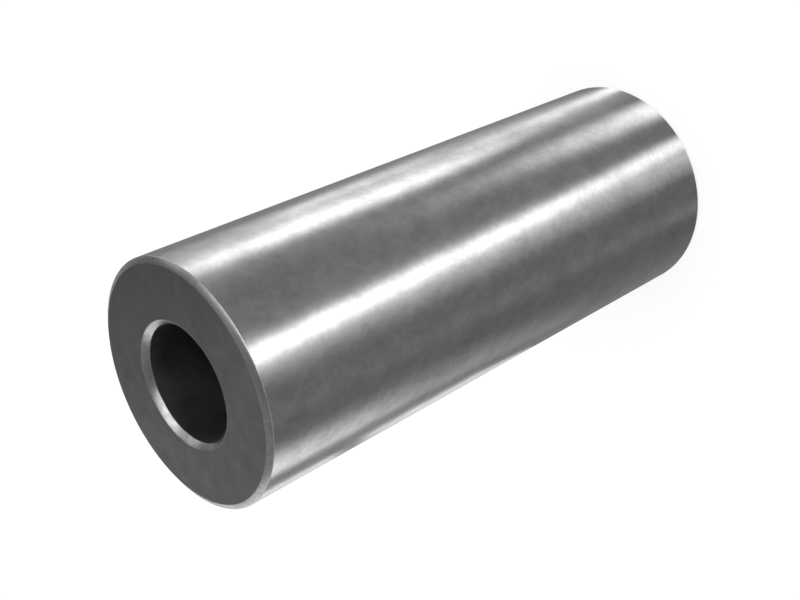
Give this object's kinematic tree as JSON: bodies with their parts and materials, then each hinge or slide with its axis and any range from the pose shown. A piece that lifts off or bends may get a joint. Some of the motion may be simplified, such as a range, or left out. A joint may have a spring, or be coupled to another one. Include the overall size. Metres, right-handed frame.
{
  "type": "piston pin",
  "caption": "Hollow ground-steel piston pin: a thick-walled round tube with a straight through bore and chamfered ends, which hinges a piston to the connecting rod.",
  "frame": {"origin": "centre of the lower end face, which the pin stands on", "axes": "+Z is the pin's axis, pointing up from the end it stands on; the pin is round, so X and Y are free"},
  "size_m": [0.03, 0.03, 0.0785],
  "materials": {
    "ground_steel": "gloss"
  },
  "bodies": {
    "root": {"piston_pin": "ground_steel"}
  },
  "joints": []
}
